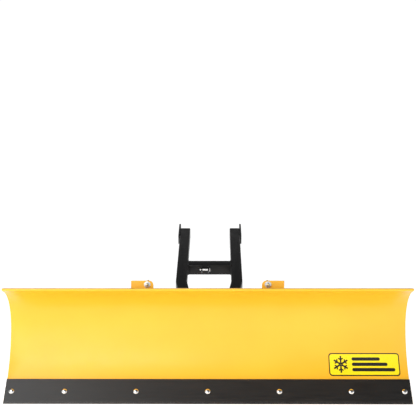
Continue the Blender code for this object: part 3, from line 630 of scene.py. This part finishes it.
def build_wear_fasteners():
    head_r = 0.0103
    rise = 0.0048
    nut_depth = BAR_THICK + SHEET + 2 * GAP
    end = nut_depth + NUT_HIGH + 0.004
    dome = [(0.0, -GAP - rise)]
    for i in range(1, 11):
        share = i / 10
        dome.append((head_r * share, -GAP - rise * math.sqrt(1 - 0.96 * share ** 2)))
    dome += [(head_r - 0.0003, -GAP), (BOLT_R, -GAP), (BOLT_R, nut_depth)]
    dome += thread(BOLT_R - 0.0001, nut_depth + 0.0002, end - 0.0012)
    dome += [(BOLT_R - 0.0012, end), (0.0, end)]
    for index in range(1, 8):
        x = middle(f"wear_bolt_{index}").x
        make(f"carriage_bolt_{index}", turned(dome), BOLT_ZINC, "blade", (f"wear_bolt_{index}",),
             bar_matrix(x, 0.0), 45)
        turn = Matrix.Rotation(math.radians(17 * index), 4, "Z")
        make(f"lock_nut_{index}", hex_nut(NUT_AF, BOLT_R + 0.0002, NUT_HIGH), ZINC, "blade",
             (f"wear_nut_{index}",), bar_matrix(x, nut_depth) @ turn)


# ---- ribs, eye bolts and springs ----------------------------------------------------------
RIB_THICK = 0.00635
RIB_WELD_LOW = 0.045
RIB_WELD_TOP = {"inner": 0.395, "outer": 0.398}


def build_eye_bolt(side, sign):
    """Threaded shank, offset neck and open ring, with its washer and nut; returns the ring's centre."""
    low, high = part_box(f"eye_bolt_{side}")
    ring = 0.0115
    threaded = 0.040
    x, front = middle(f"eye_bolt_{side}").x, low.y
    ring_centre = Vector((x, high.y - ring - BOLT_R, middle(f"spring_nut_{side}").z))
    profile = [(0.0, 0.0), (BOLT_R - 0.0012, 0.0)] + thread(BOLT_R, 0.0012, threaded)
    profile += [(BOLT_R - 0.0002, threaded + 0.0005), (0.0, threaded + 0.0005)]
    make(f"eye_bolt_thread_{side}", turned(profile, 40), GOLD_ZINC, "blade", (),
         along_y(x, front, ring_centre.z), 60)
    path = [Vector((x, front + threaded + 0.0004 * i, ring_centre.z)) for i in range(3)]
    start = path[-1]
    first = math.radians(-150)
    entry = ring_centre + Vector((0, ring * math.cos(first), ring * math.sin(first)))
    for i in range(1, 8):
        t = i / 8
        ease = t * t * (3 - 2 * t)
        y = start.y + (entry.y - start.y) * t
        path.append(Vector((x, y, start.z + (entry.z - start.z) * ease)))
    for i in range(37):
        angle = first + math.radians(285) * i / 36
        path.append(ring_centre + Vector((0, ring * math.cos(angle), ring * math.sin(angle))))
    make(f"eye_bolt_ring_{side}", sweep(path, BOLT_R - 0.0001, 20), GOLD_ZINC, "blade",
         (f"eye_bolt_{side}",), sharp=50)
    bore, rim, thick = BOLT_R + GAP, 0.0125, 0.0020
    washer = rounded([
        (bore, thick / 2), (bore, 0.0), (rim, 0.0), (rim, thick), (bore, thick),
    ], 0.0004)[:-1]
    washer_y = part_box(f"spring_washer_{side}")[0].y
    make(f"plain_washer_{side}", turned(washer), ZINC, "blade", (f"spring_washer_{side}",),
         along_y(x, washer_y, ring_centre.z))
    nut_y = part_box(f"spring_nut_{side}")[0].y
    turn = Matrix.Rotation(sign * 0.4, 4, "Z")
    make(f"spring_hex_nut_{side}", hex_nut(NUT_AF, BOLT_R + 0.0002, NUT_HIGH), ZINC, "blade",
         (f"spring_nut_{side}",), along_y(x, nut_y, ring_centre.z) @ turn)
    return ring_centre


def build_trip_spring(side, eye):
    """Close-wound extension spring from the blade's eye bolt down to its anchor on the swivel."""
    anchor = FRAME_PLANE @ Vector((eye.x, -0.075, 0.055))
    line = (anchor - eye).normalized()
    across = Vector((1, 0, 0))
    normal = line.cross(across)
    top = eye + line * 0.0037
    coil_top = top + line * 0.030
    coil_low = anchor - line * 0.028
    top_hook, low_hook = 0.0085, 0.0075
    radius = 0.0165
    wire = 0.0026
    turns = 24
    per_turn = 30

    def around(centre, reach, angle):
        return centre + reach * (math.cos(angle) * across + math.sin(angle) * normal)

    def hook(end, inward, size):
        points = []
        for i in range(-12, 13):
            angle = math.pi / 2 * i / 12
            points.append(end + inward * size * (1 - math.cos(angle)) + across * size * math.sin(angle))
        return points

    def ramp(start, end, first_reach, last_reach, first_angle, sweep_angle):
        """Between a hook and the coil, where the wire changes its distance from the axis."""
        points = []
        for i in range(1, 16):
            t = i / 16
            reach = first_reach + (last_reach - first_reach) * t * t * (3 - 2 * t)
            points.append(around(start.lerp(end, t), reach, first_angle + sweep_angle * t))
        return points

    path = hook(top, line, top_hook)
    path += ramp(top + line * 0.0095, coil_top, top_hook, radius, 0.0, math.pi)
    steps = turns * per_turn + per_turn // 2
    for i in range(steps + 1):
        centre = coil_top.lerp(coil_low, i / steps)
        path.append(around(centre, radius, math.pi + 2 * math.pi * i / per_turn))
    coil_end = math.pi + 2 * math.pi * steps / per_turn
    path += ramp(coil_low, anchor - line * 0.0085, radius, low_hook, coil_end, 2 * math.pi)
    path += hook(anchor, -line, low_hook)[::-1]
    spring = make(f"trip_spring_coil_{side}", sweep(path, wire, 10), SPRING, None,
                  (f"trip_spring_{side}",), sharp=70)
    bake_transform(spring)


def rib_bead(name, x, first_height, last_height):
    """A weld bead up the back of the sheet between two heights."""
    stations = section(FINENESS)
    path = []
    for station in stations:
        y, z = offset(station, SHEET + 0.0012)
        if first_height < z < last_height and station[2] > math.radians(50):
            path.append(Vector((x, y, z)))
    weld(name, path, 0.0026, WELD_YELLOW, "blade")


def build_blade_back():
    """Everything behind the sheet that belongs to the blade."""
    for side, sign in SIDES:
        for kind, top in RIB_WELD_TOP.items():
            refined(f"{kind}_rib_{side}", YELLOW, "blade", edge=0.0011)
            low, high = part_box(f"{kind}_rib_{side}")
            edge_out = high.x if sign > 0 else low.x
            edge_in = edge_out - sign * RIB_THICK
            rib_bead(f"weld_{kind}_{side}_out", edge_out + sign * 0.0008, RIB_WELD_LOW, top)
            rib_bead(f"weld_{kind}_{side}_in", edge_in - sign * 0.0008, RIB_WELD_LOW, top)
        eye = build_eye_bolt(side, sign)
        build_trip_spring(side, eye)
        build_pivot_pin(side, sign)
        build_skid(side, sign)


def build_pivot_pin(side, sign):
    low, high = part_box(f"pivot_pin_{side}")
    length = high.x - low.x
    radius = 0.0079
    head_r, shank = 0.0125, length - 0.0070
    profile = rounded([
        (0.0, 0.0), (radius, 0.0), (radius, shank), (head_r, shank), (head_r, length), (0.0, length),
    ], 0.0010)
    matrix = Matrix.Translation((low.x if sign > 0 else high.x, TRIP.y, TRIP.z))
    matrix = matrix @ Matrix.Rotation(math.radians(90 * sign), 4, "Y")
    make(f"trip_pin_{side}", turned(profile), ZINC, "blade", (f"pivot_pin_{side}",),
         matrix)


# ---- skid shoes ---------------------------------------------------------------------------
def build_skid(side, sign):
    body = f"skid_{side}"
    sleeve_low, sleeve_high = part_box(f"skid_sleeve_{side}")
    x, y = middle(f"skid_sleeve_{side}").x, middle(f"skid_sleeve_{side}").y
    place = Matrix.Translation((x, y, 0))
    bore, outer = 0.0130, 0.0170
    profile = rounded([
        (bore, sleeve_low.z + 0.02), (bore, sleeve_low.z), (outer, sleeve_low.z),
        (outer, sleeve_high.z), (bore, sleeve_high.z),
    ], 0.0008)
    make(f"skid_sleeve_tube_{side}", turned(profile), YELLOW, "blade", (f"skid_sleeve_{side}",),
         place)
    for name, edge in (("front", -1), ("rear", 1)):
        bead_x, bead_y = x - sign * 0.0168, y + edge * 0.0052
        bead = [Vector((bead_x, bead_y, z)) for z in (sleeve_low.z + 0.006, sleeve_high.z - 0.006)]
        weld(f"weld_sleeve_{side}_{name}", bead, 0.0026, WELD_YELLOW, "blade")
    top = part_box(f"skid_shoe_{side}")[1].z
    shoe_r = 0.045
    stem = 0.0127
    shoe = rounded([
        (0.0, 0.0), (shoe_r - 0.013, 0.0), (shoe_r - 0.003, 0.003), (shoe_r, 0.009),
        (shoe_r - 0.002, 0.0115), (shoe_r - 0.012, 0.0100), (0.022, 0.0165), (0.0150, 0.0225),
        (stem, 0.027), (stem, top), (0.0, top),
    ], 0.0018, 4)
    make(f"skid_foot_{side}", turned(shoe, 64), BLACK, body, (f"skid_shoe_{side}",),
         place, 50)
    spacer_low, spacer_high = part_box(f"skid_spacer_{side}")
    height = spacer_high.z - spacer_low.z
    half = height / 2
    soft, chamfer, seam = outer - 0.0004, 0.0006, 0.0001
    ring = [(bore, 0.0004), (soft, 0.0), (outer, chamfer), (outer, half - chamfer), (soft, half - seam)]
    ring += [(soft, half + seam), (outer, half + chamfer), (outer, height - chamfer), (soft, height)]
    ring += [(bore, height)]
    make(f"skid_spacer_rings_{side}", turned(ring), ZINC, body, (f"skid_spacer_{side}",),
         Matrix.Translation((x, y, spacer_low.z)))
    pin_r, pin_length = 0.0040, 0.044
    pin = rounded([(0.0, 0.0), (pin_r, 0.0), (pin_r, pin_length), (0.0, pin_length)], 0.0009)
    pin_y, pin_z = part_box(f"skid_pin_{side}")[0].y, middle(f"skid_pin_{side}").z
    make(f"skid_linch_pin_{side}", turned(pin, 32), ZINC, body, (f"skid_pin_{side}",),
         along_y(x, pin_y, pin_z))


# ---- swivel and push frame ----------------------------------------------------------------
TUBE_HALF = 0.0254
PLATE = 0.008
PLATE_TOP = TUBE_HALF + PLATE + 2 * GAP
AROUND_TUBE = ((-1, -1), (1, -1), (1, 1), (-1, 1), (-1, -1))


def in_frame(x, s, n):
    """World place of a point given across the frame, back along it and up from its middle plane."""
    return FRAME_PLANE @ Vector((x, s, n))


def build_swivel():
    refined("crossbar", BLACK, "swivel", tube_radius=0.0042)
    for node in ("angle_quadrant", "swivel_plate_lower"):
        refined(node, BLACK, "swivel", edge=0.0008)
    bar_s = -0.085
    bar_back = bar_s + TUBE_HALF + 0.0012
    ear_n = TUBE_HALF + 0.0008
    for side, sign in SIDES:
        refined(f"swivel_arm_{side}", BLACK, "swivel", edge=0.0008)
        refined(f"spring_anchor_{side}", BLACK, "swivel", edge=0.0007)
        bar_end = sign * 0.2733
        loop = [in_frame(bar_end, bar_s + a * TUBE_HALF, b * TUBE_HALF) for a, b in AROUND_TUBE]
        weld(f"weld_arm_{side}", loop, 0.0028, WELD_BLACK, "swivel")
        for name, edge in (("in", -1), ("out", 1)):
            x = middle(f"spring_anchor_{side}").x + edge * 0.0038
            path = [in_frame(x, bar_s - 0.020, ear_n), in_frame(x, bar_s + 0.022, ear_n)]
            weld(f"weld_ear_{side}_{name}", path, 0.0024, WELD_BLACK, "swivel")
    for name, n, reach in (("upper", 0.0158, 0.074), ("lower", -0.0158, 0.056)):
        path = [in_frame(-reach, bar_back, n), in_frame(reach, bar_back, n)]
        weld(f"weld_swivel_{name}", path, 0.0030, WELD_BLACK, "swivel")


def build_push_frame():
    for side, sign in SIDES:
        refined(f"push_tube_{side}", BLACK, "push_frame", tube_radius=0.0045)
        refined(f"mount_lug_{side}", BLACK, "push_frame", edge=0.0008)
        x = middle(f"mount_lug_{side}").x - sign * 0.0034
        for name, n in (("low", -0.0240), ("high", 0.0240)):
            path = [in_frame(x, 0.965, n), in_frame(x, 1.045, n)]
            weld(f"weld_lug_{side}_{name}", path, 0.0028, WELD_BLACK, "push_frame")
        x = sign * (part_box("cross_tube")[1].x - 0.0004)
        cross_s = along_frame(middle("cross_tube"))
        loop = [in_frame(x, cross_s + a * TUBE_HALF, b * TUBE_HALF) for a, b in AROUND_TUBE]
        weld(f"weld_cross_{side}", loop, 0.0028, WELD_BLACK, "push_frame")
    refined("cross_tube", BLACK, "push_frame", tube_radius=0.0042)
    for name, sign in (("upper", 1), ("lower", -1)):
        refined(f"nose_plate_{name}", BLACK, "push_frame", edge=0.0009)
        for side, flank in SIDES:
            n = sign * 0.0262
            rear = [in_frame(flank * 0.067, 0.236, n), in_frame(flank * 0.115, 0.236, n)]
            edge = [in_frame(flank * 0.1052, 0.172, n), in_frame(flank * 0.1176, 0.229, n)]
            for place, path, radius in (("rear", rear, 0.0028), ("edge", edge, 0.0024)):
                weld(f"weld_nose_{name}_{side}_{place}", path, radius, WELD_BLACK, "push_frame")
    refined("lift_bracket", BLACK, "push_frame", edge=0.0007)
    build_lift_pin()
    build_kingpin()
    build_lock()


def build_lift_pin():
    low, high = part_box("lift_pin")
    centre = middle("lift_pin")
    length = high.x - low.x
    radius, head_r, shank = 0.0050, 0.0085, length - 0.0047
    pin = rounded([
        (0.0, 0.0), (radius, 0.0), (radius, shank), (head_r, shank), (head_r, length), (0.0, length),
    ], 0.0008)
    make("lift_clevis_pin", turned(pin), ZINC, "push_frame", ("lift_pin",),
         along_x(low.x, centre.y, centre.z))


def build_kingpin():
    flats = 0.0286
    radius = 0.0095
    nut_high = 0.0165
    low_end = -PLATE_TOP - 0.024
    on_plate = FRAME_PLANE @ Matrix.Translation((0, 0, PLATE_TOP))
    under_plate = FRAME_PLANE @ Matrix.Translation((0, 0, -PLATE_TOP - nut_high))
    make("kingpin_head", hex_nut(flats, 0.0060, 0.0119), ZINC, "push_frame", (), on_plate)
    crown = rounded([(0.0, 0.002), (0.0066, 0.002), (0.0072, 0.0112), (0.0, 0.0114)], 0.0004)
    make("kingpin_crown", turned(crown), ZINC, "push_frame", (), on_plate)
    shank = [(0.0, low_end), (radius - 0.0015, low_end)]
    shank += thread(radius, low_end + 0.0014, -0.040, 0.0025)
    shank += [(radius, -0.0390), (radius, PLATE_TOP), (0.0, PLATE_TOP)]
    make("kingpin_shank", turned(shank), ZINC, "push_frame", ("kingpin",), FRAME_PLANE, 45)
    make("kingpin_lock_nut", hex_nut(flats, radius + 0.0002, nut_high), ZINC, "push_frame",
         ("kingpin_nut",), under_plate)


def build_lock():
    """Plunger guide on the upper nose plate, with the plunger parked up."""
    lock_s = 0.098
    place = FRAME_PLANE @ Matrix.Translation((0, lock_s, 0))
    guide_r, guide_bore, guide_top = 0.0160, 0.0110, 0.080
    mouth_r, mouth = 0.0064, guide_top - 0.004
    guide = rounded([
        (guide_bore, PLATE_TOP), (guide_r, PLATE_TOP), (guide_r, guide_top), (mouth_r, guide_top),
        (mouth_r, mouth), (guide_bore, mouth), (guide_bore, PLATE_TOP),
    ], 0.0012)[:-1]
    make("lock_guide_barrel", turned(guide), BLACK, "push_frame", ("lock_guide",),
         place, 50)
    bead_r = guide_r + 0.0002
    bead = []
    for i in range(25):
        angle = i * math.pi / 12
        x, s = bead_r * math.cos(angle), lock_s + bead_r * math.sin(angle)
        bead.append(in_frame(x, s, PLATE_TOP + 0.0004))
    weld("weld_lock_guide", bead, 0.0024, WELD_BLACK, "push_frame")
    tip = 0.0250
    pin_r, collar_r, collar = 0.0060, 0.0104, PLATE_TOP + 0.024
    knob_low = guide_top + 0.0235
    pin = rounded([
        (0.0, tip), (0.0045, tip), (pin_r, tip + 0.0025), (pin_r, collar), (collar_r, collar),
        (collar_r, collar + 0.004), (pin_r, collar + 0.004), (pin_r, knob_low), (0.0, knob_low),
    ], 0.0005)
    make("lock_plunger_pin", turned(pin), ZINC, "lock_plunger", ("lock_pin",), place)
    outline = (
        (0.0070, 0.0), (0.0088, 0.004), (0.0092, 0.008), (0.0150, 0.0125),
        (0.0165, 0.0200), (0.0140, 0.0280), (0.0070, 0.0318), (0.0015, 0.0325),
    )
    knob = [(0.0, knob_low)]
    knob += rounded([(radius, knob_low + rise) for radius, rise in outline], 0.0028, 5)
    knob.append((0.0, knob_low + outline[-1][1]))
    make("lock_pull_knob", turned(knob, 64), KNOB, "lock_plunger", ("lock_knob",),
         place, 80)
    low, high = collar + 0.0048, guide_top - 0.0048
    coil_r, wire, turns, per_turn = 0.0085, 0.0007, 6, 24
    steps = turns * per_turn
    path = []
    for i in range(steps + 1):
        angle = 2 * math.pi * i / per_turn
        z = low + (high - low) * i / steps
        path.append(place @ Vector((coil_r * math.cos(angle), coil_r * math.sin(angle), z)))
    coil = make("lock_return_coil", sweep(path, wire, 8), SPRING, None, ("lock_spring",),
                sharp=70)
    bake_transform(coil)


# ---- generic decal ------------------------------------------------------------------------
def patch(name, outline, depth, material):
    """A thin vinyl shape stuck on the sheet's lower curve; outline is (x, height) points."""
    bm = bmesh.new()
    verts = [bm.verts.new((x, 0.0, z)) for x, z in outline]
    bm.faces.new(verts)
    low, high = min(z for _, z in outline), max(z for _, z in outline)
    count = max(1, int((high - low) / 0.006))
    for i in range(1, count):
        level = low + (high - low) * i / count
        geometry = bm.verts[:] + bm.edges[:] + bm.faces[:]
        bmesh.ops.bisect_plane(bm, geom=geometry, plane_co=(0, 0, level), plane_no=(0, 0, 1), dist=1e-6)
    for vert in bm.verts:
        vert.co = sheet_point(vert.co.x, vert.co.z, -depth)
    make(name, bm, material, "blade", ())


def rounded_rectangle(x0, x1, z0, z1, radius):
    points = []
    for cx, cz, start in ((x1 - radius, z1 - radius, 0), (x0 + radius, z1 - radius, 90),
                          (x0 + radius, z0 + radius, 180), (x1 - radius, z0 + radius, 270)):
        for i in range(7):
            angle = math.radians(start + 90 * i / 6)
            points.append((cx + radius * math.cos(angle), cz + radius * math.sin(angle)))
    return points


def build_decal():
    """A plain plate: black ground, yellow field, snow crystal and three stripes."""
    x0, x1 = BLADE_HALF - 0.300, BLADE_HALF - 0.030
    z0, z1 = 0.093, 0.175
    border = 0.004
    ground, field, print_top = 0.0003, 0.0005, 0.0007
    patch("decal_ground", rounded_rectangle(x0, x1, z0, z1, 0.012), ground, SIGN_BLACK)
    inner = rounded_rectangle(x0 + border, x1 - border, z0 + border, z1 - border, 0.009)
    patch("decal_field", inner, field, SIGN_YELLOW)
    left, stripe, pitch = x0 + 0.088, 0.012, 0.019
    for i, inset in enumerate((0.018, 0.046, 0.074)):
        low = z0 + 0.016 + i * pitch
        outline = rounded_rectangle(left, x1 - inset, low, low + stripe, stripe / 2)
        patch(f"decal_stripe_{i + 1}", outline, print_top, SIGN_BLACK)
    centre = Vector((x0 + 0.046, (z0 + z1) / 2))
    arm, half = 0.030, 0.0030
    inside = 0.001

    def stroke(name, root, way, length, width):
        flank = Vector((-way.y, way.x)) * width
        tip = root + way * length
        corners = [root - flank, tip - flank, tip + flank, root + flank]
        patch(name, [(centre.x + c.x, centre.y + c.y) for c in corners], print_top, SIGN_BLACK)

    for i in range(6):
        angle = math.radians(30 + 60 * i)
        out = Vector((math.cos(angle), math.sin(angle)))
        side = Vector((-out.y, out.x))
        stroke(f"decal_crystal_{i}", out * inside, out, arm - inside, half)
        for turn, name in ((-1, "a"), (1, "b")):
            fork = (out * 0.55 + side * turn * 0.95).normalized()
            stroke(f"decal_crystal_{i}_{name}", out * arm * 0.55, fork, arm * 0.34, half * 0.8)


# ---- studio -------------------------------------------------------------------------------
CAMERA_PLACE = (0.0337, -3.2346, 0.622)
CAMERA_YAW, CAMERA_PITCH, CAMERA_ROLL = 0.0098, 0.033, -0.0005
LENS = 74.80385
LIGHTS = (   # name, place, aim, size, watts
    ("key_left", (-1.9, -3.4, 1.2), (-0.1, 0.0, 0.25), (2.3, 2.2), 33),
    ("front_high", (-1.1, -3.3, 2.5), (0.0, 0.0, 0.3), (1.8, 1.2), 26),
    ("high_left", (-1.7, -1.5, 2.6), (-0.6, 0.0, 0.1), (1.5, 1.2), 20),
    ("fill_right", (3.2, -2.4, 1.2), (0.2, 0.0, 0.2), (1.4, 1.4), 8),
)


def build_camera():
    camera = bpy.data.objects.new("photo_camera", bpy.data.cameras.new("photo_camera"))
    bpy.context.scene.collection.objects.link(camera)
    camera.data.sensor_width = 36.0
    camera.data.lens = LENS
    camera.location = CAMERA_PLACE
    yaw = Matrix.Rotation(CAMERA_YAW, 4, "Z")
    pitch = Matrix.Rotation(math.pi / 2 + CAMERA_PITCH, 4, "X")
    roll = Matrix.Rotation(CAMERA_ROLL, 4, "Z")
    camera.rotation_euler = (yaw @ pitch @ roll).to_euler()
    camera.data.clip_end = 50.0
    bpy.context.scene.camera = camera


def area_light(name, place, aim, size, power):
    light = bpy.data.lights.new(name, "AREA")
    light.shape = "RECTANGLE"
    light.size, light.size_y = size
    light.energy = power
    obj = bpy.data.objects.new(name, light)
    obj.location = place
    obj.rotation_euler = (Vector(aim) - Vector(place)).to_track_quat("-Z", "Y").to_euler()
    bpy.context.scene.collection.objects.link(obj)


def build_world():
    """A white horizon under a dim grey ceiling."""
    world = bpy.data.worlds.new("studio")
    world.use_nodes = True
    tree = world.node_tree
    direction = tree.nodes.new("ShaderNodeTexCoord")
    height = tree.nodes.new("ShaderNodeSeparateXYZ")
    ramp = tree.nodes.new("ShaderNodeMapRange")
    ramp.inputs["From Min"].default_value = 0.30
    ramp.inputs["From Max"].default_value = 0.70
    ramp.inputs["To Min"].default_value = 1.05
    ramp.inputs["To Max"].default_value = 0.10
    tree.links.new(direction.outputs["Generated"], height.inputs["Vector"])
    tree.links.new(height.outputs["Z"], ramp.inputs["Value"])
    background = tree.nodes["Background"]
    background.inputs["Color"].default_value = (1.0, 1.0, 1.0, 1.0)
    tree.links.new(ramp.outputs["Result"], background.inputs["Strength"])
    bpy.context.scene.world = world


def build_studio():
    bm = bmesh.new()
    bmesh.ops.create_grid(bm, x_segments=12, y_segments=12, size=40.0)
    floor = make("studio_floor", bm, floor_material(), None)
    floor.location = (0, 0, -0.0006)
    build_world()
    for light in LIGHTS:
        area_light(*light)
    bpy.context.scene.view_settings.view_transform = "Standard"


def main():
    build_camera()
    build_studio()
    build_moldboard()
    build_wear_bar()
    build_wear_fasteners()
    build_blade_back()
    build_swivel()
    build_push_frame()
    build_decal()


main()
